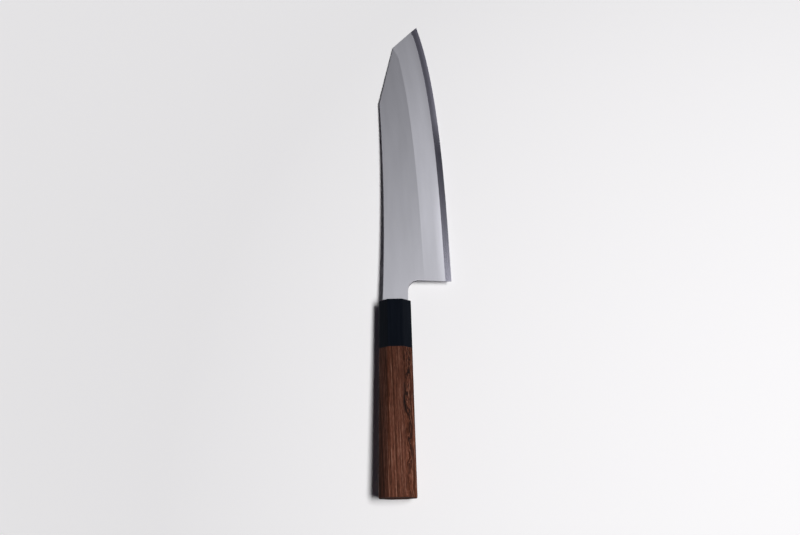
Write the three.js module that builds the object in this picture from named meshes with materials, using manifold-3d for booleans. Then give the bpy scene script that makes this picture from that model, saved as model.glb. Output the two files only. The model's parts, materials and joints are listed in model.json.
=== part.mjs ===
// Kiritsuke kitchen knife with a laminated blade and an octagonal handle.
// Millimetres, +Z up. The knife lies on its side on a table at z = 0,
// +Y runs from the butt of the handle to the tip, +X from the spine to the cutting edge.
//
// The pieces are drawn in the knife's own axes first: x = 0 on the handle's axis,
// y = 0 at the front of the ferrule, z = 0 in the middle of the blade's thickness.

import * as THREE from 'three';
import { mergeVertices } from 'three/addons/utils/BufferGeometryUtils.js';
import Module from 'manifold-3d';

const wasm = await Module();
wasm.setup();

// Driving dimensions: blade outline
const bladeLength = 210;
const neckLength = 14.8;
const heelX = 41.5;
const tipX = 20.2;
const tipY = neckLength + bladeLength;
const heelCorner = new THREE.Vector2(heelX, neckLength);
const tip = new THREE.Vector2(tipX, tipY);
const edgePullAtHeel = new THREE.Vector2(39.5, neckLength + 45);
const edgePullAtTip = new THREE.Vector2(38.6, neckLength + 152);
const spineRoot = new THREE.Vector2(-9.0, 0);
const spineSway = new THREE.Vector2(-5.5, 79);
const clipStart = new THREE.Vector2(-9.6, 158.3);
const clipBend = new THREE.Vector2(1.4, 206.7);
const neckEdgeX = 9.6;
const choilRadius = 7.4;
const choilTopY = 15.8;

// Driving dimensions: blade grinds and layers
const spineThickness = 2.8;
const distalTaper = 0.0029;
const flatTaper = 0.0085;
const coreThickness = 0.72;
const bevelWidthAtHeel = 19.6;
const bevelWidthAtTip = 21.4;
const bevelBendY = 198;
const bandWidthAtHeel = 4.5;
const bandWidthAtTip = 4.85;
const runOutStartY = 216.2;
const runOutEndY = 221;
const layerGap = 0.02;

// Driving dimensions: tang, dowel and fillings
const tangLength = 96;
const tangWidthAtNeck = 12;
const tangWidthAtEnd = 6.5;
const shoulderGap = 0.3;
const slotSideClearance = 0.9;
const slotHalfHeight = 2.3;
const fitGap = 0.1;
const sealFrontY = -0.3;
const sealDepth = 3.2;
const beddingEnd = 1.5;
const dowelDiameter = 15;
const dowelFrontY = -8.4;
const dowelBackY = -112;
const boreClearance = 0.2;

// Driving dimensions: handle, an octagon that widens towards the butt
const handleLength = 138.9;
const ferruleLength = 34.8;
const frontWidth = 22.9;
const frontHeight = 19.4;
const buttWidth = 26.6;
const buttHeight = 22.0;
const flatShare = 0.455;
const edgeEase = 0.5;
const joinGap = 0.05;

// Fineness of the curves
const edgeSteps = 56;
const spineSteps = 20;
const runOutSteps = 6;
const roundSides = 32;
const cutMargin = 20;
const weldDistance = 1e-5;
const leastRowGap = 1e-3;

// Outline as functions of y
const edgeCurve = new THREE.CubicBezierCurve(heelCorner, edgePullAtHeel, edgePullAtTip, tip);
const spineCurve = new THREE.QuadraticBezierCurve(spineRoot, spineSway, clipStart);
const blankStartY = -tangLength - cutMargin;
const edgeLine = [new THREE.Vector2(heelX, blankStartY), ...edgeCurve.getPoints(edgeSteps)];
const spineLine = [
  new THREE.Vector2(spineRoot.x, blankStartY),
  ...spineCurve.getPoints(spineSteps),
  clipBend,
  tip,
];

/** x on a polyline whose points run up in y. */
function xOn(line, y) {
  const last = line.length - 1;
  let i = 1;
  while (i < last && line[i].y < y) i += 1;
  const share = (y - line[i - 1].y) / (line[i].y - line[i - 1].y);
  return THREE.MathUtils.lerp(line[i - 1].x, line[i].x, share);
}

/** Share of the way from heel to tip, held at 0 behind the heel. */
function alongBlade(y) {
  return THREE.MathUtils.clamp((y - neckLength) / bladeLength, 0, 1);
}

/** x of the line where the core steel comes out from under the cladding, which rounds into the clip. */
function coreLineX(y) {
  const band = THREE.MathUtils.lerp(bandWidthAtHeel, bandWidthAtTip, alongBlade(y));
  const past = (y - runOutStartY) / (runOutEndY - runOutStartY);
  const turn = 1 - Math.sqrt(1 - THREE.MathUtils.clamp(past, 0, 1) ** 2);
  return THREE.MathUtils.lerp(xOn(edgeLine, y) - band, xOn(spineLine, y), turn);
}

/** x of the ridge between the flat and the wide bevel, which turns up to the clip's bend. */
function ridgeX(y) {
  if (y >= clipBend.y) return xOn(spineLine, y);
  const width = THREE.MathUtils.lerp(bevelWidthAtHeel, bevelWidthAtTip, alongBlade(y));
  if (y <= bevelBendY) return xOn(edgeLine, y) - width;
  return THREE.MathUtils.mapLinear(y, bevelBendY, clipBend.y, ridgeX(bevelBendY), clipBend.x);
}

/** Half the blade's thickness on its flat, a plane that thins towards the tip and the edge. */
function flatHeight(x, y) {
  return spineThickness / 2 - distalTaper * Math.max(y, 0) - flatTaper * (x - spineRoot.x);
}

// Past its bend the clip thins until the cladding runs out, and from there the bare core thins to the tip
const coreHalf = coreThickness / 2;
const claddingFoot = coreHalf + layerGap;
const bevelWidthAtBend = coreLineX(clipBend.y) - clipBend.x;
const bendHeight = flatHeight(clipBend.x, clipBend.y);
const bareWidth = xOn(edgeLine, runOutEndY) - xOn(spineLine, runOutEndY);

/** Closed solid through a row of convex sections, each an array of Vector3 with the same count. */
function loft(sections) {
  const sides = sections[0].length;
  const index = [];
  for (let s = 0; s + 1 < sections.length; s += 1) {
    for (let i = 0; i < sides; i += 1) {
      const a = s * sides + i;
      const b = s * sides + ((i + 1) % sides);
      index.push(a, b + sides, b, a, a + sides, b + sides);
    }
  }
  const back = (sections.length - 1) * sides;
  for (let i = 1; i + 1 < sides; i += 1) {
    index.push(0, i, i + 1, back, back + i + 1, back + i);
  }
  const geometry = new THREE.BufferGeometry().setFromPoints(sections.flat());
  geometry.setIndex(index);
  return geometry;
}

/** Solid for joining and cutting, from a closed geometry. */
function solid(geometry) {
  const bare = geometry.clone();
  bare.deleteAttribute('normal');
  bare.deleteAttribute('uv');
  const merged = mergeVertices(bare, weldDistance);
  const corners = merged.index.array;
  const kept = [];
  for (let i = 0; i < corners.length; i += 3) {
    const [a, b, c] = corners.slice(i, i + 3);
    if (a !== b && b !== c && c !== a) kept.push(a, b, c);
  }
  const mesh = new wasm.Mesh({
    numProp: 3,
    vertProperties: Float32Array.from(merged.attributes.position.array),
    triVerts: Uint32Array.from(kept),
  });
  return new wasm.Manifold(mesh);
}

/** Geometry of a finished solid. */
function shapeOf(body) {
  const { vertProperties, triVerts, numProp } = body.getMesh();
  const geometry = new THREE.BufferGeometry();
  geometry.setAttribute('position', new THREE.BufferAttribute(vertProperties, numProp));
  geometry.setIndex(new THREE.BufferAttribute(triVerts, 1));
  geometry.computeVertexNormals();
  return geometry;
}

/** Flat outline pulled up from low to high in z. */
function prism(outline, low, high) {
  const geometry = new THREE.ExtrudeGeometry(outline, { depth: high - low, bevelEnabled: false });
  geometry.translate(0, 0, low);
  return solid(geometry);
}

/** Round bar along y. */
function bar(diameter, frontY, backY) {
  const geometry = new THREE.CylinderGeometry(diameter / 2, diameter / 2, frontY - backY, roundSides);
  geometry.translate(0, (frontY + backY) / 2, 0);
  return solid(geometry);
}

/** Half the tang's width at y. */
function tangHalf(y) {
  return THREE.MathUtils.mapLinear(y, 0, -tangLength, tangWidthAtNeck, tangWidthAtEnd) / 2;
}

/** Tapered block round the tang from frontY back to backY, wider than the tang on each side. */
function tangBlock(side, halfHeight, frontY, backY) {
  const outline = new THREE.Shape([
    new THREE.Vector2(tangHalf(frontY) + side, frontY),
    new THREE.Vector2(-tangHalf(frontY) - side, frontY),
    new THREE.Vector2(-tangHalf(backY) - side, backY),
    new THREE.Vector2(tangHalf(backY) + side, backY),
  ]);
  return prism(outline, -halfHeight, halfHeight);
}

/** Section of the handle at y with chamfers of 45 degrees, drawn in by ease on every side. */
function octagon(y, ease = 0) {
  const width = THREE.MathUtils.mapLinear(y, 0, -handleLength, frontWidth, buttWidth) / 2 - ease;
  const height = THREE.MathUtils.mapLinear(y, 0, -handleLength, frontHeight, buttHeight) / 2 - ease;
  const flat = width * flatShare;
  const side = height - (width - flat);
  const corners = [
    [width, -side],
    [width, side],
    [flat, height],
    [-flat, height],
    [-width, side],
    [-width, -side],
    [-flat, -height],
    [flat, -height],
  ];
  return corners.map(([x, z]) => new THREE.Vector3(x, y, z));
}

/** y of every blade section, from the end of the tang's blank to lastY. */
function sectionRows(lastY) {
  const rows = [...edgeLine, ...spineLine].map((point) => point.y);
  rows.push(bevelBendY);
  for (let step = 0; step <= runOutSteps; step += 1) {
    const share = Math.sin((Math.PI / 2) * (step / runOutSteps));
    rows.push(THREE.MathUtils.lerp(runOutStartY, runOutEndY, share));
  }
  const inside = rows.filter((y) => y <= lastY).sort((a, b) => a - b);
  return inside.filter((y, i) => i === 0 || y - inside[i - 1] > leastRowGap);
}

/** One layer of cladding, above the core for side 1 and below it for side -1. */
function claddingBlank(side) {
  const sections = sectionRows(runOutEndY).map((y) => {
    const spineX = xOn(spineLine, y);
    const footX = coreLineX(y);
    const clipHeight = claddingFoot
      + ((bendHeight - claddingFoot) * (footX - spineX)) / bevelWidthAtBend;
    const pastBend = y > clipBend.y;
    const spineHeight = pastBend ? clipHeight : flatHeight(spineX, y);
    const ridgeHeight = pastBend ? clipHeight : flatHeight(ridgeX(y), y);
    const points = [
      new THREE.Vector3(footX, y, claddingFoot * side),
      new THREE.Vector3(ridgeX(y), y, ridgeHeight * side),
      new THREE.Vector3(spineX, y, spineHeight * side),
      new THREE.Vector3(spineX, y, claddingFoot * side),
    ];
    return side > 0 ? points : points.reverse();
  });
  return solid(loft(sections));
}

/** The hard core: an even sheet that thins to the cutting edge past the core line. */
function coreBlank() {
  const sections = sectionRows(tipY).map((y) => {
    const spineX = xOn(spineLine, y);
    const edgeX = xOn(edgeLine, y);
    const shoulderX = coreLineX(y);
    const half = y > runOutEndY ? (coreHalf * (edgeX - spineX)) / bareWidth : coreHalf;
    return [
      new THREE.Vector3(edgeX, y, 0),
      new THREE.Vector3(shoulderX, y, half),
      new THREE.Vector3(spineX, y, half),
      new THREE.Vector3(spineX, y, -half),
      new THREE.Vector3(shoulderX, y, -half),
    ];
  });
  return solid(loft(sections));
}

/** Outline that trims a blank to its heel, choil, neck, shoulder and tang. */
function bladeTrim() {
  const far = heelX + cutMargin;
  const heelSlope = (choilTopY - neckLength) / (heelX - neckEdgeX - choilRadius);
  const outline = new THREE.Shape();
  outline.moveTo(far, tipY + cutMargin);
  outline.lineTo(far, neckLength - heelSlope * cutMargin);
  outline.lineTo(neckEdgeX + choilRadius, choilTopY);
  outline.absarc(neckEdgeX + choilRadius, choilTopY - choilRadius, choilRadius, Math.PI / 2, Math.PI);
  outline.lineTo(neckEdgeX, shoulderGap);
  outline.lineTo(tangHalf(0), shoulderGap);
  outline.lineTo(tangHalf(-tangLength), -tangLength);
  outline.lineTo(-tangHalf(-tangLength), -tangLength);
  outline.lineTo(-tangHalf(0), shoulderGap);
  outline.lineTo(-far, shoulderGap);
  outline.lineTo(-far, tipY + cutMargin);
  return prism(outline, -spineThickness, spineThickness);
}

/** Ferrule: eased front face, tang slot through it and a bore for the dowel from the back. */
function ferrule() {
  const backY = -ferruleLength;
  const block = solid(loft([octagon(backY), octagon(-edgeEase), octagon(0, edgeEase)]));
  const slot = tangBlock(slotSideClearance, slotHalfHeight, cutMargin, dowelFrontY - cutMargin / 2);
  const bore = bar(dowelDiameter + 2 * boreClearance, dowelFrontY + boreClearance, backY - cutMargin);
  return block.subtract(slot).subtract(bore);
}

/** Handle body: octagon with an eased butt and a blind bore for the dowel. */
function handleBody() {
  const frontY = -ferruleLength - joinGap;
  const easedY = -handleLength + edgeEase;
  const block = solid(loft([octagon(-handleLength, edgeEase), octagon(easedY), octagon(frontY)]));
  const bore = bar(dowelDiameter + 2 * boreClearance, frontY + cutMargin, dowelBackY - boreClearance);
  return block.subtract(bore);
}

/** Half of the split dowel, above the blade's middle plane for side 1 and below it for side -1. */
function dowelHalf(side) {
  const half = dowelDiameter / 2;
  const length = dowelFrontY - dowelBackY;
  const keep = new THREE.BoxGeometry(dowelDiameter + cutMargin, length + cutMargin, half);
  keep.translate(0, (dowelFrontY + dowelBackY) / 2, side * (half / 2 + fitGap / 2));
  const channelBack = -tangLength - beddingEnd - 2 * fitGap;
  const channel = tangBlock(slotSideClearance, slotHalfHeight, 0, channelBack);
  return bar(dowelDiameter, dowelFrontY, dowelBackY).intersect(solid(keep)).subtract(channel);
}

/** Filling round the tang, from frontY back to backY, with the tang's own room cut out of it. */
function filling(frontY, backY) {
  const outer = tangBlock(slotSideClearance - fitGap, slotHalfHeight - fitGap, frontY, backY);
  const roomBackY = -tangLength - fitGap;
  const room = tangBlock(fitGap, spineThickness / 2 + fitGap, cutMargin, roomBackY);
  return outer.subtract(room);
}

// Finishes
const satinSteel = { color: 0xa6a8aa, roughness: 0.38, metalness: 1 };
const polishedCore = { color: 0x8d909a, roughness: 0.22, metalness: 1 };
const blackHorn = { color: 0x15171b, roughness: 0.42, metalness: 0 };
const rosewood = { color: 0x5a3a2e, roughness: 0.55, metalness: 0 };
const paleAsh = { color: 0xc8a878, roughness: 0.75, metalness: 0 };
const amberResin = { color: 0xb79a5e, roughness: 0.4, metalness: 0 };
const blackWax = { color: 0x1c1a18, roughness: 0.5, metalness: 0 };

/** Named mesh of a finished solid. */
function piece(name, body, finish) {
  const mesh = new THREE.Mesh(shapeOf(body), new THREE.MeshStandardMaterial(finish));
  mesh.name = name;
  return mesh;
}

const trim = bladeTrim();
const sealBackY = sealFrontY - sealDepth;
const knife = new THREE.Group();
knife.add(
  piece('core_steel', coreBlank().intersect(trim), polishedCore),
  piece('upper_cladding', claddingBlank(1).intersect(trim), satinSteel),
  piece('lower_cladding', claddingBlank(-1).intersect(trim), satinSteel),
  piece('ferrule', ferrule(), blackHorn),
  piece('handle_body', handleBody(), rosewood),
  piece('upper_dowel_half', dowelHalf(1), paleAsh),
  piece('lower_dowel_half', dowelHalf(-1), paleAsh),
  piece('tang_bedding', filling(sealBackY - fitGap, -tangLength - beddingEnd), amberResin),
  piece('mouth_seal', filling(sealFrontY, sealBackY), blackWax),
);

// At rest the knife touches the table under the front of the ferrule
// and where the lower cladding runs out near the tip, so its nose points slightly down
const ferruleHalf = frontHeight / 2;
knife.rotation.x = -Math.atan2(ferruleHalf - claddingFoot, runOutEndY + edgeEase);

const part = new THREE.Group();
part.add(knife);
part.updateMatrixWorld(true);
const box = new THREE.Box3().setFromObject(part, true);
const middle = box.getCenter(new THREE.Vector3());
knife.position.set(-middle.x, -middle.y, -box.min.z);

export default part;
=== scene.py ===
"""Looks of a kiritsuke kitchen knife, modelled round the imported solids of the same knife.

Pieces are drawn in the knife's own axes, in millimetres, and then carried into the frame. There x is 0 on
the handle's axis and grows from spine to edge, y is 0 at the ferrule's front and grows to the tip, and z is 0
in the middle of the blade's thickness and grows out of its upper side.
"""

import json
import logging
import math
from bisect import bisect_left
from collections.abc import Callable, Iterable, Sequence
from dataclasses import dataclass
from enum import Enum, IntEnum
from functools import cached_property

import bmesh
import bpy
from bmesh.types import BMEdge, BMesh, BMFace, BMVert
from mathutils import Matrix, Vector
from mathutils.geometry import interpolate_bezier


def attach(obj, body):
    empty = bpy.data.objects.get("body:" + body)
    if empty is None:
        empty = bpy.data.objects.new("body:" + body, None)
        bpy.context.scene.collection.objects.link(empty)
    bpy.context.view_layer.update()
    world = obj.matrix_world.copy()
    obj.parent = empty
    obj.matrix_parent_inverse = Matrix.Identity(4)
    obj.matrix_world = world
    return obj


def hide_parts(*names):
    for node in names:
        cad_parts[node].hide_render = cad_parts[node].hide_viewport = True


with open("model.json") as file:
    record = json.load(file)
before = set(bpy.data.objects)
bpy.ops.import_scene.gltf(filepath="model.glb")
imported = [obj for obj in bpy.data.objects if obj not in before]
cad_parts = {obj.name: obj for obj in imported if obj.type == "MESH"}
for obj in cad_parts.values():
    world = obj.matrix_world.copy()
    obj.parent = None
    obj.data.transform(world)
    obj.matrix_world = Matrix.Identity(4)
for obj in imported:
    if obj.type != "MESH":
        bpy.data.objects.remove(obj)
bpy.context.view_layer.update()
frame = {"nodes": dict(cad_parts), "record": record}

LOG = logging.getLogger("knife")
BODY = "root"
GRIND = "grind"  # attribute that holds each vertex's place in the blade's grind
MM = 0.001
NEAR = 0.001  # millimetres within which two points are one
CREASE = 35.0  # degrees past which an edge stays sharp
NOISE_SPAN = (0.3, 0.7)  # where nearly all of a noise's values lie
GRAIN_SPAN = (0.35, 0.65)  # where most of them lie
MIX_A, MIX_B, MIX_RESULT = 6, 7, 2  # a Mix node's sockets for colours
SMOOTH = {"interpolation_type": "SMOOTHSTEP"}

Point = tuple[float, float]
Colour = tuple[float, float, float, float]
Stops = tuple[tuple[float, str | Colour], ...]
Tree = bpy.types.NodeTree
Socket = bpy.types.NodeSocket
Material = bpy.types.Material


class Side(Enum):
    """Side of the blade's middle plane that a piece lies on."""

    UPPER = 1
    LOWER = -1


class Ground(IntEnum):
    """Ground faces of the cladding, in the order of its materials."""

    FLAT = 0
    BEVEL = 1
    WALL = 2


# Small tools


def linear(hex_code: str) -> Colour:
    """Turns an sRGB hex value into a linear colour.

    Args:
        hex_code: colour such as "#5a3a2e".

    Returns:
        Linear red, green, blue and an alpha of 1.
    """
    parts = [int(hex_code[i:i + 2], 16) / 255 for i in (1, 3, 5)]
    flat = [p / 12.92 if p <= 0.04045 else ((p + 0.055) / 1.055) ** 2.4 for p in parts]
    return (flat[0], flat[1], flat[2], 1.0)


def x_on(line: Sequence[Vector], y: float) -> float:
    """Finds x on a line of points that run up in y.

    Args:
        line: points of the line.
        y: where to read it.

    Returns:
        x, from the line's first or last stretch where y lies past its ends.
    """
    after = min(max(bisect_left([p.y for p in line], y), 1), len(line) - 1)
    low, high = line[after - 1], line[after]
    return low.x + (high.x - low.x) * (y - low.y) / (high.y - low.y)


def between(start: float, end: float, share: float) -> float:
    """Value at a share of the way from start to end."""
    return start + (end - start) * share


def held_share(value: float, start: float, end: float) -> float:
    """Share of the way from start to end at which a value lies, held between 0 and 1."""
    return min(max((value - start) / (end - start), 0.0), 1.0)


def add_object(name: str, data: bpy.types.ID) -> bpy.types.Object:
    """Puts a mesh, a lamp or a camera into the scene.

    Args:
        name: name of the new object.
        data: what it holds.

    Returns:
        The object.
    """
    made = bpy.data.objects.new(name, data)
    bpy.context.scene.collection.objects.link(made)
    return made


@dataclass(frozen=True)
class KnifeAxes:
    """The knife's own axes in the frame: where they start, and how far they tip about x."""

    origin: Vector
    pitch: float

    @classmethod
    def from_record(cls, record: dict, handle_length: float) -> "KnifeAxes":
        """Reads the axes off the mount on the butt, which the handle's axis leaves squarely.

        Args:
            record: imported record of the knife.
            handle_length: millimetres from the ferrule's front to the butt.

        Returns:
            The knife's axes.
        """
        butt = next(mount for mount in record["mounts"] if mount["name"] == "butt_face")
        forward = -Vector(butt["axis"])
        origin = Vector(butt["pos_m"]) + forward * (handle_length * MM)
        return cls(origin, math.atan2(forward.z, forward.y))

    @property
    def turn(self) -> Matrix:
        """Turn from the knife's axes to the frame's."""
        return Matrix.Rotation(self.pitch, 4, "X")

    @property
    def matrix(self) -> Matrix:
        """Carries millimetres on the knife's axes to metres in the frame."""
        return Matrix.Translation(self.origin) @ self.turn @ Matrix.Scale(MM, 4)


# Mesh tools


def start_ring(bm: BMesh, points: Iterable[Vector]) -> list[BMVert]:
    """Makes a closed ring of edges.

    Args:
        bm: mesh that takes the ring.
        points: corners of the ring in order.

    Returns:
        The ring's vertices.
    """
    ring = [bm.verts.new(point) for point in points]
    for place, vert in enumerate(ring):
        bm.edges.new((ring[place - 1], vert))
    return ring


def pull_ring(bm: BMesh, ring: Sequence[BMVert], points: Iterable[Vector]) -> list[BMVert]:
    """Extrudes a closed ring of edges to new points.

    Args:
        bm: mesh that holds the ring.
        ring: vertices of the ring.
        points: where each of them goes.

    Returns:
        Vertices of the new ring, in the same order.
    """
    edges = [bm.edges.get((ring[place - 1], vert)) for place, vert in enumerate(ring)]
    made = bmesh.ops.extrude_edge_only(bm, edges=edges)["geom"]
    fresh = {part for part in made if isinstance(part, BMVert)}
    pulled = []
    for vert, point in zip(ring, points, strict=True):
        end = next(edge.other_vert(vert) for edge in vert.link_edges if edge.other_vert(vert) in fresh)
        end.co = point
        pulled.append(end)
    return pulled


def round_edges(bm: BMesh, edges: Iterable[BMEdge], radius: float, segments: int) -> None:
    """Rounds edges off.

    Args:
        bm: mesh that holds the edges.
        edges: edges to round.
        radius: how far the round reaches from the edge, in the mesh's units.
        segments: faces across the round.
    """
    bmesh.ops.bevel(
        bm, geom=list(edges), offset=radius, affect="EDGES", segments=segments, profile=0.5, material=-1
    )


def close_mesh(bm: BMesh) -> None:
    """Merges doubles, fills open ends and turns the faces outwards.

    Args:
        bm: mesh to close.
    """
    bmesh.ops.remove_doubles(bm, verts=bm.verts, dist=NEAR)
    bmesh.ops.dissolve_degenerate(bm, edges=bm.edges, dist=NEAR)
    bmesh.ops.holes_fill(bm, edges=[edge for edge in bm.edges if edge.is_boundary], sides=0)
    bmesh.ops.recalc_face_normals(bm, faces=bm.faces)


def shade(bm: BMesh, crease: float) -> None:
    """Smooths the faces, apart from edges between finishes or sharper than a crease.

    Args:
        bm: mesh to shade.
        crease: angle in degrees past which an edge stays sharp.
    """
    for face in bm.faces:
        face.smooth = True
    for edge in bm.edges:
        finishes = {face.material_index for face in edge.link_faces}
        edge.smooth = len(finishes) == 1 and edge.calc_face_angle(0.0) < math.radians(crease)


def make_piece(bm: BMesh, name: str, axes: KnifeAxes, materials: Sequence[Material]) -> None:
    """Turns a mesh on the knife's axes into a piece that stands for a CAD node.

    Args:
        bm: finished mesh in millimetres, which is freed.
        name: CAD node that the piece stands for.
        axes: the knife's axes.
        materials: materials in the order of the faces' indices.
    """
    bm.transform(axes.matrix)
    mesh = bpy.data.meshes.new(f"{name}_mesh")
    bm.to_mesh(mesh)
    bm.free()
    for material in materials:
        mesh.materials.append(material)
    piece = add_object(f"{name}_skin", mesh)
    weighted = piece.modifiers.new("even_faces", "WEIGHTED_NORMAL")
    weighted.keep_sharp = True
    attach(piece, BODY)
    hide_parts(name)
    LOG.info("%s: %d faces", piece.name, len(mesh.polygons))


# Material tools


def new_material(name: str) -> tuple[Material, Tree, bpy.types.Node]:
    """Makes a material with nodes.

    Args:
        name: name of the material.

    Returns:
        The material, its node tree and its Principled shader.
    """
    material = bpy.data.materials.new(name)
    material.use_nodes = True
    tree = material.node_tree
    return material, tree, tree.nodes["Principled BSDF"]


def feed(node: bpy.types.Node, inputs: dict[str | int, object]) -> None:
    """Gives inputs of a node their values, or links them to the outputs that feed them.

    Args:
        node: node whose inputs they are.
        inputs: values and outputs, by the input's name or number.
    """
    for name, value in inputs.items():
        if isinstance(value, Socket):
            node.id_data.links.new(value, node.inputs[name])
        else:
            node.inputs[name].default_value = value


def add_node(
    tree: Tree,
    kind: str,
    inputs: dict[str | int, object] | Sequence[object] = (),
    output: str | int = 0,
    stops: Stops = (),
    **settings: object,
) -> Socket:
    """Adds a node with its settings, its input values and its links.

    Args:
        tree: where the node goes.
        kind: Blender's name for the type of node, without ShaderNode.
        inputs: values of its inputs and outputs that feed them, by name or number, or in order.
        output: name or number of the output that is wanted.
        stops: positions and colours of a colour ramp, from low to high.
        settings: properties of the node itself.

    Returns:
        The wanted output.
    """
    node = tree.nodes.new(f"ShaderNode{kind}")
    for name, value in settings.items():
        setattr(node, name, value)
    for place, (position, colour) in enumerate(stops):
        elements = node.color_ramp.elements
        stop = elements[place] if place < len(elements) else elements.new(position)
        stop.position = position
        stop.color = linear(colour) if isinstance(colour, str) else colour
    feed(node, inputs if isinstance(inputs, dict) else dict(enumerate(inputs)))
    return node.outputs[output]


def knife_coordinates(tree: Tree, axes: KnifeAxes) -> Socket:
    """Adds Object coordinates turned to the knife's axes, in millimetres.

    Args:
        tree: where the nodes go.
        axes: the knife's axes.

    Returns:
        The output that holds them.
    """
    place = add_node(tree, "TexCoord", output="Object")
    inputs = (place, axes.origin, (axes.pitch, 0.0, 0.0), (MM, MM, MM))
    return add_node(tree, "Mapping", inputs, vector_type="TEXTURE")


def drawn_out(
    tree: Tree,
    place: Socket,
    size: Point,
    detail: float = 3.0,
    fineness: float = 0.6,
    waver: float = 0.0,
    lean: float = 0.0,
) -> Socket:
    """Adds a pattern of uneven marks that are drawn out along the knife.

    Args:
        tree: where the nodes go.
        place: millimetres, with y along the knife.
        size: width of the marks and their length.
        detail: how many finer sizes of marks it adds.
        fineness: how strong the finer marks are.
        waver: how much the marks waver.
        lean: degrees by which they lean.

    Returns:
        The pattern's values, from 0 to 1.
    """
    width, length = size
    inputs = (place, (0.0, 0.0, 0.0), (0.0, 0.0, math.radians(lean)), (width, length, width))
    scaled = add_node(tree, "Mapping", inputs, vector_type="TEXTURE")
    marks = {"Vector": scaled, "Scale": 1.0, "Detail": detail, "Roughness": fineness, "Distortion": waver}
    return add_node(tree, "TexNoise", marks)


def combine(tree: Tree, operation: str, start: float, changes: Iterable[tuple]) -> Socket:
    """Adds values that go from one level to another over a span, and joins them in one sum or product.

    Args:
        tree: where the nodes go.
        operation: ADD or MULTIPLY.
        start: number that the sum or product starts from.
        changes: what each value follows, its span there, and its levels before and after the span.

    Returns:
        The sum or product.
    """
    result = start
    for followed, span, before, after in changes:
        value = add_node(tree, "MapRange", (followed, *span, before, after))
        result = add_node(tree, "Math", (result, value), operation=operation)
    return result


# Finishes


@dataclass(frozen=True)
class GroundSteel:
    """Stainless cladding or hard core steel, ground along the blade on a fine belt.

    The eye sees a soft grey sheen with faint long lines and a slightly cloudy evenness, and a clearer, darker
    gloss on the core.
    """

    name: str
    colour: str
    roughness: float
    line_size: Point = (0.5, 45.0)  # a real belt line is about 0.03 mm wide, too fine to show
    line_contrast: float = 0.008
    line_haze: float = 0.012
    cloud_size: Point = (7.0, 50.0)
    cloud_fineness: float = 0.55
    cloud_contrast: float = 0.035
    # Painted highlight: the steel is lightened on the core line at the heel, and painted shade darkens it
    # there towards the tip.
    painted_glint: Point = (0.0, 0.0)  # how much lighter the steel runs out on the core line, at heel and tip
    painted_glint_ends: Point = (55.0, 130.0)
    painted_glint_span: Point = (4.4, 10.4)  # from the edge
    # Painted shade: the steel's colour is darkened towards heel and tip.
    end_tones: Point = (1.0, 1.0)  # factor on the colour at heel and tip
    painted_shade_fades: tuple[Point, Point] = ((62.0, 14.0), (125.0, 218.0))
    end_haze: Point = (0.0, 0.0)  # how much rougher it is at heel and tip than where it is clearest
    haze_fades: tuple[Point, Point] = ((116.0, 24.0), (116.0, 146.0))
    edge_haze: float = 0.0  # how much rougher it is on the edge itself, towards the tip
    edge_haze_span: Point = (0.0, 3.2)
    scratch_depth: float = 0.0002

    def material(self) -> Material:
        """Builds the material from the grind's own coordinates: millimetres from the edge and along it.

        Returns:
            The material.
        """
        material, tree, shader = new_material(self.name)
        grind = add_node(tree, "Attribute", output="Vector", attribute_name=GRIND)
        across, along = (add_node(tree, "SeparateXYZ", (grind,), axis) for axis in "XY")
        lines = drawn_out(tree, grind, self.line_size)
        clouds = drawn_out(tree, grind, self.cloud_size, fineness=self.cloud_fineness)
        # The steel's colour carries a painted highlight on the core line at the heel, painted shade on that
        # line towards the tip, and painted shade at heel and tip.
        painted_lifts = (1 + painted_glint for painted_glint in self.painted_glint)
        painted_glint_level = add_node(tree, "MapRange", (along, *self.painted_glint_ends, *painted_lifts), **SMOOTH)
        on_edge = add_node(tree, "MapRange", (along, *self.haze_fades[1], 0.0, self.edge_haze))
        tone = combine(tree, "MULTIPLY", 1.0, (
            (lines, NOISE_SPAN, 1 - self.line_contrast, 1 + self.line_contrast),
            (clouds, NOISE_SPAN, 1 - self.cloud_contrast, 1 + self.cloud_contrast),
            (across, self.painted_glint_span, painted_glint_level, 1.0),
            *((along, fade, 1.0, painted_end_shade) for fade, painted_end_shade in zip(self.painted_shade_fades, self.end_tones)),
        ))
        rough = combine(tree, "ADD", self.roughness, (
            (lines, NOISE_SPAN, -self.line_haze, self.line_haze),
            (across, self.edge_haze_span, on_edge, 0.0),
            *((along, fade, 0.0, haze) for fade, haze in zip(self.haze_fades, self.end_haze)),
        ))
        tint = {0: 1.0, MIX_A: linear(self.colour), MIX_B: tone}
        scratches = {"Height": lines, "Distance": self.scratch_depth * MM, "Strength": 1.0}
        feed(shader, {
            "Base Color": add_node(tree, "Mix", tint, MIX_RESULT, data_type="RGBA", blend_type="MULTIPLY"),
            "Metallic": 1.0,
            "Roughness": rough,
            "Normal": add_node(tree, "Bump", scratches),
        })
        return material


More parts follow.
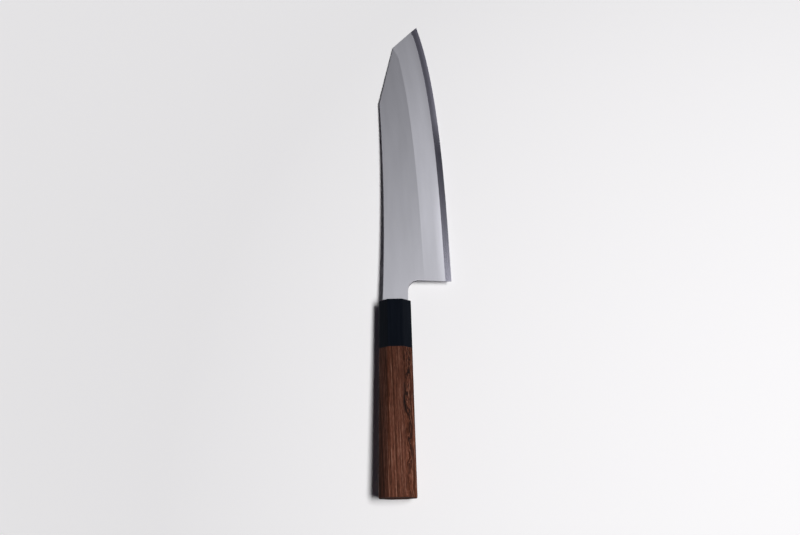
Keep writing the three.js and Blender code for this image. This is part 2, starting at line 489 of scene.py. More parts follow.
@dataclass(frozen=True)
class BlackHorn:
    """Polished black buffalo horn: nearly black with a cool cast, faint paler streaks and a soft gloss."""

    name: str = "polished_buffalo_horn"
    tones: Stops = ((0.45, "#0b0f16"), (0.75, "#10141c"))
    streak_size: Point = (1.6, 26.0)
    streak_detail: float = 4.0
    streak_waver: float = 0.4
    roughness: Point = (0.26, 0.35)  # between the streaks and on them
    ior: float = 1.54
    shine: float = 0.025

    def material(self, axes: KnifeAxes) -> Material:
        """Builds the material.

        Args:
            axes: the knife's axes, along which the horn's streaks run.

        Returns:
            The material.
        """
        material, tree, shader = new_material(self.name)
        place = knife_coordinates(tree, axes)
        streaks = drawn_out(tree, place, self.streak_size, self.streak_detail, waver=self.streak_waver)
        feed(shader, {
            "Base Color": add_node(tree, "ValToRGB", (streaks,), stops=self.tones),
            "Roughness": add_node(tree, "MapRange", (streaks, *NOISE_SPAN, *self.roughness)),
            "IOR": self.ior,
            "Specular IOR Level": self.shine,
        })
        return material


@dataclass(frozen=True)
class OiledRosewood:
    """Oiled rosewood, sanded along the grain.

    The eye sees straight, irregular lines of reddish brown, a few paler ones, short dark pores, a figured
    chamfer on the edge side with a dark vein and dark flecks, painted shade that darkens the spine side, and
    a dull sheen.
    """

    name: str = "oiled_rosewood"
    tones: Stops = (
        (0.39, "#331708"), (0.45, "#452518"), (0.50, "#552f21"), (0.55, "#643b2d"), (0.61, "#7c5646"),
    )
    depth: float = 1.0  # factor on all tones
    lean: float = 1.5
    grain_detail: float = 2.0
    grain_fineness: float = 0.55
    pith: Point = (84.0, -12.0)
    band_width: float = 1.5
    band_detail: float = 3.0
    band_fineness: float = 0.6
    warp: float = 1.2
    warp_size: Point = (14.0, 70.0)
    fibre_size: Point = (0.6, 20.0)
    fibre_share: float = 0.42
    streak_size: Point = (0.5, 3.5)
    streak_share: float = 0.2
    pore_size: Point = (0.5, 6.0)  # real pores are about 0.2 mm wide, too fine to show
    pore_start: Point = (0.58, 0.66)
    pore_tone: float = 0.6
    pore_depth: float = 0.02
    figure_size: Point = (6.0, 13.0)
    figure_reach: Point = (5.0, 1.0)  # on the upper chamfer and on the side's flat face
    figure_start: Point = (3.5, 8.0)
    figure_end: Point = (9.5, 11.5)
    fleck_size: Point = (1.4, 7.0)
    fleck_start: Point = (0.52, 0.57)
    fleck_tones: Point = (0.6, 0.15)  # towards the butt and towards the ferrule
    fleck_ends: Point = (-116.0, -78.0)
    side_fleck_tone: float = 0.65
    vein_x: Point = (5.8, 9.4)  # before and after its jog
    vein_jog: Point = (-75.0, -93.0)
    vein_width: float = 1.6
    vein_ends: Point = (-126.0, -56.0)
    vein_tone: float = 0.15
    # Painted shade: the spine side, which faces away from the key, is darkened.
    painted_shade_tone: float = 0.42
    painted_shade_span: Point = (-13.0, -2.0)
    end_tones: Point = (1.2, 0.76)  # factor on the tones at the butt and at the ferrule
    end_places: Point = (-136.0, -36.0)
    roughness: Point = (0.54, 0.42)  # on the dark lines and on the pale ones
    sheen_level: float = 0.06

    def grain(self, tree: Tree, place: Socket, size: Point) -> Socket:
        """Adds marks of a given width and length along the grain."""
        return drawn_out(tree, place, size, self.grain_detail, self.grain_fineness, lean=self.lean)

    def figured(self, tree: Tree, place: Socket) -> Socket:
        """Bends the grain on the edge side into short waves.

        Args:
            tree: where the nodes go.
            place: millimetres on the knife's axes.

        Returns:
            The bent coordinates.
        """
        across = add_node(tree, "SeparateXYZ", (place,), "X")
        reach = add_node(tree, "MapRange", (across, *self.figure_end, *self.figure_reach), **SMOOTH)
        reach = add_node(tree, "MapRange", (across, *self.figure_start, 0.0, reach), **SMOOTH)
        waves = self.grain(tree, place, self.figure_size)
        waves = add_node(tree, "MapRange", (waves, 0.0, 1.0, -1.0, 1.0))
        shift = add_node(tree, "Math", (waves, reach), operation="MULTIPLY")
        shift = add_node(tree, "CombineXYZ", (shift, 0.0, 0.0))
        return add_node(tree, "VectorMath", (place, shift), operation="ADD")

    def bands(self, tree: Tree, place: Socket) -> Socket:
        """Adds the growth bands: uneven sheets round a far pith, warped and leaning along the handle.

        Args:
            tree: where the nodes go.
            place: millimetres on the knife's axes.

        Returns:
            The bands' tone, from 0 to 1.
        """
        pith_x, pith_z = self.pith
        pith = (pith_x, 0.0, pith_z)
        flat = add_node(tree, "VectorMath", (place, (1.0, 0.0, 1.0)), operation="MULTIPLY")
        ring = add_node(tree, "VectorMath", (flat, pith), "Value", operation="DISTANCE")
        along = add_node(tree, "SeparateXYZ", (place,), "Y")
        slope = -math.tan(math.radians(self.lean))
        for value, factor in ((along, slope), (self.grain(tree, place, self.warp_size), self.warp)):
            ring = add_node(tree, "Math", (value, factor, ring), operation="MULTIPLY_ADD")
        marks = {"Scale": 1 / self.band_width, "Detail": self.band_detail, "Roughness": self.band_fineness}
        return add_node(tree, "TexNoise", {"W": ring, **marks}, noise_dimensions="1D")

    def vein(self, tree: Tree, across: Socket, along: Socket) -> Socket:
        """Adds the dark vein, which jogs towards the edge side half way down the handle.

        Args:
            tree: where the nodes go.
            across: millimetres from the handle's axis towards the edge.
            along: millimetres along the handle.

        Returns:
            Factor on the wood's colour.
        """
        course = add_node(tree, "MapRange", (along, *self.vein_jog, *self.vein_x), **SMOOTH)
        low, high = self.vein_ends
        half = (high - low) / 2
        ends = (along, low + half, (half / 2, half))
        sides = (across, course, (0.0, self.vein_width))
        tone = self.vein_tone
        for value, middle, span in (ends, sides):
            aside = add_node(tree, "Math", (value, middle), operation="SUBTRACT")
            away = add_node(tree, "Math", (aside,), operation="ABSOLUTE")
            tone = add_node(tree, "MapRange", (away, *span, tone, 1.0), **SMOOTH)
        return tone

    def marks(self, tree: Tree, place: Socket) -> list[Socket]:
        """Adds what darkens the wood: pores, flecks beside the vein, painted shade on the spine side and the
        vein.

        Args:
            tree: where the nodes go.
            place: millimetres on the knife's axes, bent with the grain.

        Returns:
            Factors on the wood's colour, with the pores first.
        """
        across, along = (add_node(tree, "SeparateXYZ", (place,), axis) for axis in "XY")
        fleck = add_node(tree, "MapRange", (along, *self.fleck_ends, *self.fleck_tones), **SMOOTH)
        fleck = add_node(tree, "MapRange", (across, *self.figure_end, fleck, self.side_fleck_tone), **SMOOTH)
        fleck = add_node(tree, "MapRange", (across, *self.figure_start, 1.0, fleck), **SMOOTH)
        end_tones = (tone * self.depth for tone in self.end_tones)
        sapwood = add_node(tree, "MapRange", (along, *self.end_places, *end_tones), **SMOOTH)
        # The third change is painted shade that darkens the spine side.
        changes = (
            (self.grain(tree, place, self.pore_size), *self.pore_start, 1.0, self.pore_tone),
            (self.grain(tree, place, self.fleck_size), *self.fleck_start, 1.0, fleck),
            (across, *self.painted_shade_span, self.painted_shade_tone * self.depth, sapwood),
        )
        marks = [add_node(tree, "MapRange", change, **SMOOTH) for change in changes]
        return [*marks, self.vein(tree, across, along)]

    def material(self, axes: KnifeAxes) -> Material:
        """Builds the material as a solid block of wood, so that the end grain follows.

        Args:
            axes: the knife's axes, along which the grain runs.

        Returns:
            The material.
        """
        material, tree, shader = new_material(self.name)
        place = self.figured(tree, knife_coordinates(tree, axes))
        tone = self.bands(tree, place)
        for size, share in ((self.fibre_size, self.fibre_share), (self.streak_size, self.streak_share)):
            tone = add_node(tree, "Mix", {"Factor": share, "A": tone, "B": self.grain(tree, place, size)})
        colour = add_node(tree, "ValToRGB", (tone,), stops=self.tones)
        marks = self.marks(tree, place)
        for mark in marks:
            tint = {0: 1.0, MIX_A: colour, MIX_B: mark}
            colour = add_node(tree, "Mix", tint, MIX_RESULT, data_type="RGBA", blend_type="MULTIPLY")
        dents = {"Height": marks[0], "Distance": self.pore_depth * MM, "Strength": 1.0}
        feed(shader, {
            "Base Color": colour,
            "Roughness": add_node(tree, "MapRange", (tone, *GRAIN_SPAN, *self.roughness), **SMOOTH),
            "Specular IOR Level": self.sheen_level,
            "Normal": add_node(tree, "Bump", dents),
        })
        return material


@dataclass(frozen=True)
class GrainedFilling:
    """Plain inner material with a stretched grain: pale ash, cast resin or black wax.

    The eye sees one colour that wavers a little along the knife.
    """

    name: str
    colours: tuple[str, str]
    roughness: float
    grain_size: Point

    def material(self, axes: KnifeAxes) -> Material:
        """Builds the material.

        Args:
            axes: the knife's axes, along which the grain runs.

        Returns:
            The material.
        """
        material, tree, shader = new_material(self.name)
        grain = drawn_out(tree, knife_coordinates(tree, axes), self.grain_size)
        colour = add_node(tree, "ValToRGB", (grain,), stops=tuple(zip(GRAIN_SPAN, self.colours)))
        feed(shader, {"Base Color": colour, "Roughness": self.roughness})
        return material


# Blade


@dataclass(frozen=True)
class Blade:
    """Laminated blade: a core of hard steel between two layers of cladding, in millimetres."""

    axes: KnifeAxes
    length: float = 210.0
    neck_length: float = 14.8
    heel_x: float = 41.5
    tip_x: float = 20.2
    edge_pull_at_heel: Point = (39.5, 59.8)
    edge_pull_at_tip: Point = (38.6, 166.8)
    edge_steps: int = 72
    spine_root: Point = (-9.0, 0.0)
    spine_sway: Point = (-5.5, 79.0)
    spine_pull: float = 2 / 3  # how far the bow's two inner points go towards the sway
    spine_steps: int = 24
    clip_start: Point = (-9.6, 158.3)
    clip_bend: Point = (1.4, 206.7)
    neck_edge_x: float = 9.6
    choil_radius: float = 7.4
    choil_top: float = 15.8
    choil_steps: int = 10
    spine_thickness: float = 2.8
    distal_taper: float = 0.0029
    flat_taper: float = 0.0085
    core_thickness: float = 0.72
    bevel_widths: Point = (19.6, 21.4)  # at heel and tip
    bevel_bend: float = 198.0
    band_widths: Point = (4.5, 4.85)  # of the bare core, at heel and tip
    run_out: Point = (216.2, 221.0)  # where the cladding's end starts to round off, and where it stops
    run_out_steps: int = 8
    least_step: float = 0.6
    layer_gap: float = 0.02
    hone_width: float = 0.35
    hone_rise: float = 0.02
    tang_length: float = 96.0
    tang_widths: Point = (12.0, 6.5)  # at the neck and at its end
    shoulder: float = 0.3
    shoulder_slope: float = 0.25
    spine_round: tuple[float, int] = (0.3, 3)  # radius and faces across
    wall_round: tuple[float, int] = (0.06, 2)
    rim_level: float = 0.1  # least height of a rounded rim over the cladding's inner face
    rim_slack: float = 0.01  # how far a rim may lie off its line
    rim_turn: float = 1.0  # least angle between the faces at a wall's rim, in radians
    wall_lean: float = 0.7  # a face whose normal rises less than this is a wall
    core_crease: float = 2.5
    flat_finish: GroundSteel = GroundSteel("satin_stainless_flat", "#acacb2", 0.55)
    # The bevel's colour carries a painted highlight on the core line at the heel and painted shade at heel
    # and tip.
    bevel_finish: GroundSteel = GroundSteel(
        "hazy_stainless_bevel", "#c1c1c7", 0.67, painted_glint=(0.27, -0.08), end_tones=(0.88, 0.82)
    )
    core_finish: GroundSteel = GroundSteel(
        "polished_core_steel", "#b5b4c2", 0.225, line_contrast=0.03, end_haze=(0.055, 0.085), edge_haze=0.08
    )
    # Painted shade: the walls' steel is made much darker than the blade's, for the shade and dark reflections
    # on the heel and spine walls.
    shaded_wall_finish: GroundSteel = GroundSteel("shade_painted_steel_wall", "#4a494f", 0.55)

    @property
    def tip_y(self) -> float:
        """y of the tip."""
        return self.neck_length + self.length

    @cached_property
    def edge_line(self) -> list[Vector]:
        """Cutting edge.

        Returns:
            Its points from heel to tip.
        """
        heel, tip = (self.heel_x, self.neck_length), (self.tip_x, self.tip_y)
        corners = [Vector(p) for p in (heel, self.edge_pull_at_heel, self.edge_pull_at_tip, tip)]
        return list(interpolate_bezier(*corners, self.edge_steps))

    @cached_property
    def spine_line(self) -> list[Vector]:
        """Spine with its sway and the two slopes of the clip.

        Returns:
            Its points from ferrule to tip.
        """
        root, sway, clip = Vector(self.spine_root), Vector(self.spine_sway), Vector(self.clip_start)
        pulls = (end.lerp(sway, self.spine_pull) for end in (root, clip))
        bow = interpolate_bezier(root, *pulls, clip, self.spine_steps)
        return [*bow, Vector(self.clip_bend), Vector((self.tip_x, self.tip_y))]

    def edge_x(self, y: float) -> float:
        """x of the cutting edge."""
        return x_on(self.edge_line, y)

    def spine_x(self, y: float) -> float:
        """x of the spine."""
        return x_on(self.spine_line, max(y, self.spine_root[1]))

    def inside_x(self, y: float, widths: Point) -> float:
        """x at a distance from the cutting edge, which is given at heel and tip and changes evenly."""
        return self.edge_x(y) - between(*widths, held_share(y, self.neck_length, self.tip_y))

    def core_line_x(self, y: float) -> float:
        """x of the line where the core comes out from under the cladding, which rounds into the clip."""
        rounding = 1.0 - math.sqrt(1.0 - held_share(y, *self.run_out) ** 2)
        return between(self.inside_x(y, self.band_widths), self.spine_x(y), rounding)

    def ridge_x(self, y: float) -> float:
        """x of the ridge between the flat and the wide bevel.

        Args:
            y: where to read it.

        Returns:
            x, on a line that turns up to the clip's bend, and on the spine past that.
        """
        bend_x, bend_y = self.clip_bend
        if y >= bend_y:
            return self.spine_x(y)
        straight = self.inside_x(min(y, self.bevel_bend), self.bevel_widths)
        return between(straight, bend_x, held_share(y, self.bevel_bend, bend_y))

    def heel_y(self, x: float) -> float:
        """y of the heel line, which falls from the choil to the heel's corner."""
        share = held_share(x, self.neck_edge_x + self.choil_radius, self.heel_x)
        return between(self.choil_top, self.neck_length, share)

    def flat_height(self, x: float, y: float) -> float:
        """Half the thickness on the flat, which thins towards tip and edge."""
        taper = self.distal_taper * max(y, 0.0) + self.flat_taper * (x - self.spine_root[0])
        return self.spine_thickness / 2 - taper

    @property
    def core_half(self) -> float:
        """Half the core's thickness."""
        return self.core_thickness / 2

    @property
    def foot(self) -> float:
        """Height of the cladding's inner face over the middle plane."""
        return self.core_half + self.layer_gap

    @property
    def choil_share(self) -> float:
        """Share of the flat, from spine to ridge, at which the choil's round meets the heel line."""
        spine, ridge = self.spine_x(self.choil_top), self.ridge_x(self.choil_top)
        return (self.neck_edge_x + self.choil_radius - spine) / (ridge - spine)

    def stations(self, last: float) -> list[float]:
        """Lists the sections of the blade from its heel on.

        Args:
            last: y of the last section.

        Returns:
            y of each section, at least a little apart.
        """
        turns = [math.pi / 2 * step / self.run_out_steps for step in range(self.run_out_steps + 1)]
        kinks = [self.choil_top, self.clip_start[1], self.bevel_bend, self.clip_bend[1], self.tip_y]
        kinks += [between(*self.run_out, math.sin(turn)) for turn in turns]
        spread = [p.y for p in self.edge_line if all(abs(p.y - kink) > self.least_step for kink in kinks)]
        return sorted(y for y in kinks + spread if self.choil_top <= y <= last)

    def place_section(self, corners: Iterable[Point], y: float) -> list[Vector]:
        """Places a section's corners, given as x and z, at y, or for the first one on the heel line."""
        at_heel = y == self.choil_top
        return [Vector((x, self.heel_y(x) if at_heel else y, z)) for x, z in corners]

    def cladding_section(self, y: float) -> list[Vector]:
        """Section of the upper cladding.

        Args:
            y: where the section lies.

        Returns:
            Its corners: seam and top at the spine, choil, ridge, foot, and seam under the choil.
        """
        spine, ridge = self.spine_x(y), self.ridge_x(y)
        line = max(self.core_line_x(y), spine)
        choil = between(spine, ridge, self.choil_share)
        bend_x, bend_y = self.clip_bend
        past_bend = (line - spine) / (self.core_line_x(bend_y) - bend_x)
        run_out = between(self.foot, self.flat_height(bend_x, bend_y), past_bend)
        tops = [(x, run_out if y > bend_y else self.flat_height(x, y)) for x in (spine, choil, ridge)]
        return self.place_section([(spine, self.foot), *tops, (line, self.foot), (choil, self.foot)], y)

    def core_section(self, y: float) -> list[Vector]:
        """Section of the core.

        Args:
            y: where the section lies.

        Returns:
            Its corners from the spine's low side over the top to the edge and back underneath.
        """
        spine, edge = self.spine_x(y), self.edge_x(y)
        line = max(self.core_line_x(y), spine)
        choil = min(between(spine, self.ridge_x(y), self.choil_share), line)
        bare_from = self.run_out[1]
        bare = self.edge_x(bare_from) - self.spine_x(bare_from)
        reach = (edge - spine) / bare if y > bare_from else 1.0
        half = self.core_half * reach
        band = edge - line
        hone = min(self.hone_width, band / 2)
        hone_half = self.hone_rise * reach + (half * hone / band if band else 0.0)
        upper = [(spine, half), (choil, half), (line, half), (edge - hone, hone_half)]
        lower = [(x, -z) for x, z in reversed(upper[1:])]
        return self.place_section([(spine, -half), *upper, (edge, 0.0), *lower], y)

    def neck_sections(self, low: float, high: Callable[[float, float], float]) -> list[list[Vector]]:
        """Sections of a layer from the choil to the end of the tang.

        Args:
            low: height of its lower face.
            high: gives the height of its upper face at x and y.

        Returns:
            Corners of each section from the spine's low side over the top to the low side across from it.
        """
        centre_x, centre_y = self.neck_edge_x + self.choil_radius, self.choil_top - self.choil_radius
        rows = []
        for step in range(1, self.choil_steps + 1):
            turn = math.pi / 2 * (1 + step / self.choil_steps)
            y = centre_y + self.choil_radius * math.sin(turn)
            rows.append((self.spine_x(y), centre_x + self.choil_radius * math.cos(turn), y))
        rows.append((self.spine_x(self.shoulder), self.neck_edge_x, self.shoulder))
        for width, y in zip(self.tang_widths, (self.shoulder - self.shoulder_slope, -self.tang_length)):
            rows.append((-width / 2, width / 2, y))
        sections = []
        for back, front, y in rows:
            corners = ((back, low), (back, high(back, y)), (front, high(front, y)), (front, low))
            sections.append([Vector((x, y, z)) for x, z in corners])
        return sections

    def skin(self, sections: Iterable[list[Vector]], neck_sections: Iterable[list[Vector]]) -> BMesh:
        """Pulls a layer from the heel to the tip, closes the heel and pulls the neck and tang.

        Args:
            sections: rings from heel to tip, from the spine's low side and top over the choil to under it.
            neck_sections: rings from the choil to the end of the tang.

        Returns:
            The layer's closed mesh.
        """
        first, *others = sections
        bm = bmesh.new()
        heel = start_ring(bm, first)
        ring = heel
        for section in others:
            ring = pull_ring(bm, ring, section)
        spine_low, spine_top, *heel_wall = heel
        bm.faces.new(heel_wall)
        ring = [spine_low, spine_top, heel_wall[0], heel_wall[-1]]
        for section in neck_sections:
            ring = pull_ring(bm, ring, section)
        close_mesh(bm)
        return bm

    def write_grind(self, bm: BMesh) -> None:
        """Stores each vertex's distance from the edge, place along it and height, for the grind marks.

        Args:
            bm: mesh of a layer.
        """
        layer = bm.verts.layers.float_vector.new(GRIND)
        for vert in bm.verts:
            vert[layer] = (self.edge_x(vert.co.y) - vert.co.x, vert.co.y, vert.co.z)

    def round_outline(self, bm: BMesh) -> None:
        """Rounds the upper rim of the spine, the neck and the choil.

        Args:
            bm: mesh of the upper cladding.
        """
        spine, wall = [], []
        for edge in bm.edges:
            ends = [vert.co for vert in edge.verts]
            low, high = sorted(end.y for end in ends)
            level = min(end.z for end in ends) - self.foot
            if level < self.rim_level or low < 0.0 or high > self.clip_bend[1] + self.rim_slack:
                continue
            at_neck = low >= self.shoulder - self.rim_slack and high <= self.choil_top + self.rim_slack
            if all(abs(end.x - self.spine_x(end.y)) < self.rim_slack for end in ends):
                spine.append(edge)
            elif at_neck and edge.calc_face_angle(0.0) > self.rim_turn:
                wall.append(edge)
        round_edges(bm, spine, *self.spine_round)
        round_edges(bm, wall, *self.wall_round)

    def cladding(self, side: Side) -> BMesh:
        """Builds one layer of cladding.

        Args:
            side: side of the core that it lies on.

        Returns:
            Its mesh in millimetres, with the flat, the wide bevel and the walls as its finishes.
        """
        sections = [self.cladding_section(y) for y in self.stations(self.run_out[1])]
        bm = self.skin(sections, self.neck_sections(self.foot, self.flat_height))
        self.round_outline(bm)
        for face in bm.faces:
            middle = face.calc_center_median()
            if abs(face.normal.z) < self.wall_lean:
                face.material_index = Ground.WALL
            elif middle.x > self.ridge_x(middle.y) and middle.y > self.choil_top:
                face.material_index = Ground.BEVEL
        self.write_grind(bm)
        shade(bm, CREASE)
        if side is Side.LOWER:
            bmesh.ops.scale(bm, vec=(1, 1, -1), verts=bm.verts)
            bmesh.ops.recalc_face_normals(bm, faces=bm.faces)
        return bm

    def core(self) -> BMesh:
        """Builds the core with its honed edge.

        Returns:
            Its mesh in millimetres, with the walls as the second finish.
        """
        sections = [self.core_section(y) for y in self.stations(self.tip_y)]
        bm = self.skin(sections, self.neck_sections(-self.core_half, lambda x, y: self.core_half))
        for face in bm.faces:
            face.material_index = int(abs(face.normal.z) < self.wall_lean)
        self.write_grind(bm)
        shade(bm, self.core_crease)
        return bm

    def build(self) -> None:
        """Builds and dresses the three layers."""
        finishes = (self.flat_finish, self.bevel_finish, self.shaded_wall_finish, self.core_finish)
        flat, bevel, wall, core = (finish.material() for finish in finishes)
        make_piece(self.core(), "core_steel", self.axes, [core, wall])
        for side, node in ((Side.UPPER, "upper_cladding"), (Side.LOWER, "lower_cladding")):
            make_piece(self.cladding(side), node, self.axes, [flat, bevel, wall])


# Handle


@dataclass(frozen=True)
class Handle:
    """Octagonal handle that widens towards the butt: a horn ferrule and a wooden body, in millimetres."""

    axes: KnifeAxes
    length: float = 138.9
    ferrule_length: float = 34.8
    front_size: Point = (22.9, 19.4)  # width and height
    butt_size: Point = (26.6, 22.0)
    flat_share: float = 0.455
    join_gap: float = 0.05
    rim_round: float = 0.35
    butt_round: float = 0.7
    round_steps: int = 4
    slot_half_width: float = 6.9
    slot_half_height: float = 2.3
    slot_narrowing: float = 0.0286
    slot_end: float = -8.2
    bore_diameter: float = 15.4
    bore_end: float = -112.2
    bore_sides: int = 48
    end_lean: float = 0.9  # a face that looks back more squarely than this shows end grain
    ferrule_finish: BlackHorn = BlackHorn()
    body_finish: OiledRosewood = OiledRosewood()
    # Darker end grain: partly as oiled end grain is, partly painted shade on the butt's end face.
    end_grain_and_shade_finish: OiledRosewood = OiledRosewood(
        "shaded_rosewood_end_grain", depth=0.34, roughness=(0.88, 0.76), sheen_level=0.02
    )

    def octagon(self, y: float) -> list[Vector]:
        """Corners of the handle's section, with chamfers of 45 degrees.

        Args:
            y: where the section lies.

        Returns:
            The eight corners in order.
        """
        share = -y / self.length
        width, height = (between(*ends, share) / 2 for ends in zip(self.front_size, self.butt_size))
        flat = width * self.flat_share
        side = height - (width - flat)
        quarter = [(width, side), (flat, height)]
        half = quarter + [(-x, z) for x, z in reversed(quarter)]
        return [Vector((x, y, z)) for x, z in half + [(-x, -z) for x, z in half]]

    def slot_ring(self, y: float) -> list[Vector]:
        """Corners of the tang's slot at y."""
        width, height = self.slot_half_width + self.slot_narrowing * y, self.slot_half_height
        return [Vector((x * width, y, z * height)) for x, z in ((1, 1), (-1, 1), (-1, -1), (1, -1))]

    def block(self, front: float, back: float, eased: float, radius: float) -> BMesh:
        """Builds an octagonal block with rounded long edges and one rounded end.

        Args:
            front: y of its front end.
            back: y of its back end.
            eased: y of the end whose rim is rounded.
            radius: size of the rounds.

        Returns:
            The closed block.
        """
        bm = bmesh.new()
        ring = start_ring(bm, self.octagon(front))
        pull_ring(bm, ring, self.octagon(back))
        close_mesh(bm)
        chosen = [edge for edge in bm.edges if any(abs(vert.co.y - eased) < NEAR for vert in edge.verts)]
        round_edges(bm, chosen, radius, self.round_steps)
        return bm

    def open_end(self, bm: BMesh, y: float) -> None:
        """Takes the flat face at one end off a block."""
        at_end = [face for face in bm.faces if abs(face.calc_center_median().y - y) < NEAR]
        bmesh.ops.delete(bm, geom=[max(at_end, key=BMFace.calc_area)], context="FACES_ONLY")

    def add_bore(self, bm: BMesh, front: float, back: float) -> None:
        """Spins the wall of the dowel's bore round the handle's axis.

        Args:
            bm: mesh that takes the wall.
            front: y of its front rim.
            back: y of its back rim.
        """
        ends = [bm.verts.new((self.bore_diameter / 2, y, 0.0)) for y in (front, back)]
        line = [*ends, bm.edges.new(ends)]
        bmesh.ops.spin(bm, geom=line, axis=(0, 1, 0), angle=math.tau, steps=self.bore_sides, use_merge=True)

    def fill_ring(self, bm: BMesh, y: float) -> None:
        """Fills the flat ring between the two open rims at one place.

        Args:
            bm: mesh that holds the rims.
            y: where they lie.
        """
        open_edges = [edge for edge in bm.edges if edge.is_boundary]
        rims = [edge for edge in open_edges if all(abs(vert.co.y - y) < NEAR for vert in edge.verts)]
        bmesh.ops.triangle_fill(bm, edges=rims, use_beauty=True, normal=(0, 1, 0))

    def ferrule(self) -> BMesh:
        """Builds the ferrule: slot for the tang from the front, bore for the dowel from the back.

        Returns:
            Its mesh in millimetres.
        """
        back = -self.ferrule_length
        bm = self.block(0.0, back, 0.0, self.rim_round)
        for end in (0.0, back):
            self.open_end(bm, end)
        slot = start_ring(bm, self.slot_ring(0.0))
        pull_ring(bm, slot, self.slot_ring(self.slot_end))
        self.add_bore(bm, self.slot_end, back)
        for place in (0.0, self.slot_end, back):
            self.fill_ring(bm, place)
        close_mesh(bm)
        shade(bm, CREASE)
        return bm

    def body(self) -> BMesh:
        """Builds the wooden body with its blind bore.

        Returns:
            Its mesh in millimetres, with the end grain as the second finish.
        """
        front = -self.ferrule_length - self.join_gap
        bm = self.block(front, -self.length, -self.length, self.butt_round)
        self.open_end(bm, front)
        self.add_bore(bm, front, self.bore_end)
        self.fill_ring(bm, front)
        close_mesh(bm)
        for face in bm.faces:
            face.material_index = int(face.normal.y < -self.end_lean)
        shade(bm, CREASE)
        return bm

    def build(self) -> None:
        """Builds and dresses the ferrule and the body."""
        finishes = (self.ferrule_finish, self.body_finish, self.end_grain_and_shade_finish)
        horn, wood, end_grain = (finish.material(self.axes) for finish in finishes)
        make_piece(self.ferrule(), "ferrule", self.axes, [horn])
        make_piece(self.body(), "handle_body", self.axes, [wood, end_grain])


@dataclass(frozen=True)
class Fillings:
    """What the handle hides: the split dowel, the bedding of the tang and the seal at the mouth."""

    axes: KnifeAxes
    ash: GrainedFilling = GrainedFilling("raw_ash", ("#c8a878", "#a9844f"), 0.7, (0.8, 30.0))
    resin: GrainedFilling = GrainedFilling("cured_resin", ("#a9834a", "#8a6430"), 0.35, (4.0, 9.0))
    wax: GrainedFilling = GrainedFilling("black_wax", ("#16130f", "#221e19"), 0.5, (1.5, 1.5))

    def dress(self) -> None:
        """Gives the carried-over solids their materials."""
        for finish, nodes in (
            (self.ash, ("upper_dowel_half", "lower_dowel_half")),
            (self.resin, ("tang_bedding",)),
            (self.wax, ("mouth_seal",)),
        ):
            material = finish.material(self.axes)
            for node in nodes:
                materials = frame["nodes"][node].data.materials
                materials.clear()
                materials.append(material)
                LOG.info("%s: %s", node, finish.name)


# Studio


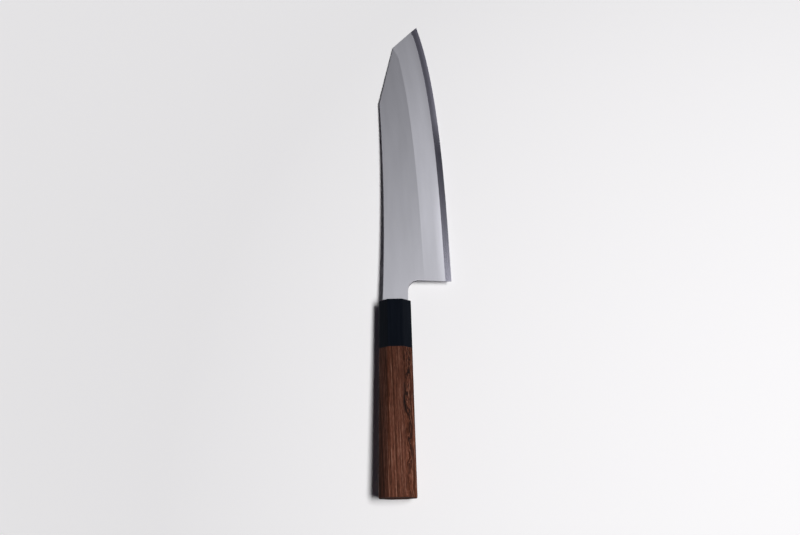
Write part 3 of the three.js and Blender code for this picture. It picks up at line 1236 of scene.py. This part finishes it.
@dataclass(frozen=True)
class Studio:
    """Floor and light in metres, and a camera aimed in millimetres on the knife's axes."""

    axes: KnifeAxes
    floor_size: float = 60.0
    floor_colour: str = "#f6f5f6"
    floor_roughness: float = 0.9
    lit_middle: Point = (0.35, -0.2)
    # How far from the lit middle, and what the floor there gives the eye of itself
    glow: tuple[Point, ...] = ((0.53, 0.0), (1.0, 0.33), (1.4, 0.55), (1.9, 0.69), (3.0, 0.79))
    key_strength: float = 3.15  # watts on a square metre that faces the key
    key_height: float = 1.5
    key_elevation: float = 70.2
    key_along: float = -0.17
    key_size: Point = (0.39, 0.8)
    # From the horizon up, what lights the knife, and what the eye and the steel see
    sky: Stops = ((0.0, "#cfcfd3"), (0.08, "#77777d"), (0.28, "#252329"), (1.0, "#1b1920"))
    walls: Stops = ((0.0, "#e6e6e8"), (0.12, "#b4b4b9"), (0.5, "#55545b"), (1.0, "#1b1920"))
    lens: float = 45.0
    nearest: float = 0.01
    target: tuple[float, float, float] = (4.101, 26.223, 0.0)
    distance: float = 731.99
    tilt: float = 17.44
    azimuth: float = -0.351
    roll: float = -1.009

    def seen(self, tree: Tree) -> Socket:
        """Adds what tells rays that show a surface or its mirror image from rays that light.

        Args:
            tree: where the nodes go.

        Returns:
            1 for rays that show, 0 for rays that light.
        """
        seen = add_node(tree, "LightPath", output="Is Camera Ray")
        for kind in ("Is Glossy Ray", "Is Transmission Ray"):
            ray = add_node(tree, "LightPath", output=kind)
            seen = add_node(tree, "Math", (seen, ray), operation="MAXIMUM")
        return seen

    def floor(self) -> None:
        """Makes the plain floor that the knife lies on, which stays pale far from the key."""
        bm = bmesh.new()
        bmesh.ops.create_grid(bm, x_segments=1, y_segments=1, size=self.floor_size / 2)
        mesh = bpy.data.meshes.new("floor_mesh")
        bm.to_mesh(mesh)
        bm.free()
        material, tree, shader = new_material("matt_white_plaster")
        place = add_node(tree, "TexCoord", output="Object")
        away = add_node(tree, "VectorMath", (place, (*self.lit_middle, 0.0)), "Value", operation="DISTANCE")
        reach = self.glow[-1][0]
        share = add_node(tree, "Math", (away, reach), operation="DIVIDE")
        stops = tuple((step / reach, (level, level, level, 1.0)) for step, level in self.glow)
        glow = add_node(tree, "ValToRGB", (share,), stops=stops)
        feed(shader, {
            "Base Color": linear(self.floor_colour),
            "Roughness": self.floor_roughness,
            "Emission Color": linear(self.floor_colour),
            "Emission Strength": add_node(tree, "Math", (glow, self.seen(tree)), operation="MULTIPLY"),
        })
        mesh.materials.append(material)
        floor = add_object("floor", mesh)

    def light(self) -> None:
        """Hangs a long soft box over the edge side, and sets a sky that pales at the horizon."""
        origin = self.axes.origin
        aside = self.key_height / math.tan(math.radians(self.key_elevation))
        lamp = bpy.data.lights.new("soft_box", "AREA")
        lamp.shape = "ELLIPSE"
        lamp.size, lamp.size_y = self.key_size
        lamp.energy = self.key_strength * math.pi * (aside ** 2 + self.key_height ** 2)
        key = add_object("soft_box", lamp)
        key.location = (origin.x + aside, origin.y + self.key_along, self.key_height)
        key.rotation_euler = (0.0, math.radians(90.0 - self.key_elevation), 0.0)
        world = bpy.data.worlds.new("studio_sky")
        bpy.context.scene.world = world
        world.use_nodes = True
        tree = world.node_tree
        direction = add_node(tree, "TexCoord", output="Generated")
        height = add_node(tree, "SeparateXYZ", (direction,), "Z")
        lit, shown = (add_node(tree, "ValToRGB", (height,), stops=stops) for stops in (self.sky, self.walls))
        mix = {0: self.seen(tree), MIX_A: lit, MIX_B: shown}
        feed(tree.nodes["Background"], {"Color": add_node(tree, "Mix", mix, MIX_RESULT, data_type="RGBA")})

    def camera(self) -> None:
        """Places the camera where the photograph was taken from."""
        lens = bpy.data.cameras.new("camera")
        lens.lens = self.lens
        lens.clip_start = self.nearest
        turn, rise = math.radians(self.azimuth), math.radians(90.0 - self.tilt)
        back = Vector((math.sin(turn) * math.cos(rise), -math.cos(turn) * math.cos(rise), math.sin(rise)))
        right = Vector((0.0, 1.0, 0.0)).cross(back).normalized()
        up = back.cross(right)
        lean = Matrix.Rotation(math.radians(self.roll), 3, back)
        pose = Matrix((lean @ right, lean @ up, back)).transposed().to_4x4()
        place = self.axes.matrix @ (Vector(self.target) + back * self.distance)
        camera = add_object("camera", lens)
        camera.matrix_world = Matrix.Translation(place) @ self.axes.turn @ pose
        bpy.context.scene.camera = camera

    def build(self) -> None:
        """Makes the floor, the light and the camera."""
        self.floor()
        self.light()
        self.camera()
        bpy.context.scene.view_settings.view_transform = "Standard"


def main() -> None:
    """Builds the knife and its studio."""
    logging.basicConfig(level=logging.INFO, format="%(name)s %(message)s")
    axes = KnifeAxes.from_record(frame["record"], Handle.length)
    Studio(axes).build()
    Blade(axes).build()
    Handle(axes).build()
    Fillings(axes).dress()


if __name__ == "__main__":
    main()
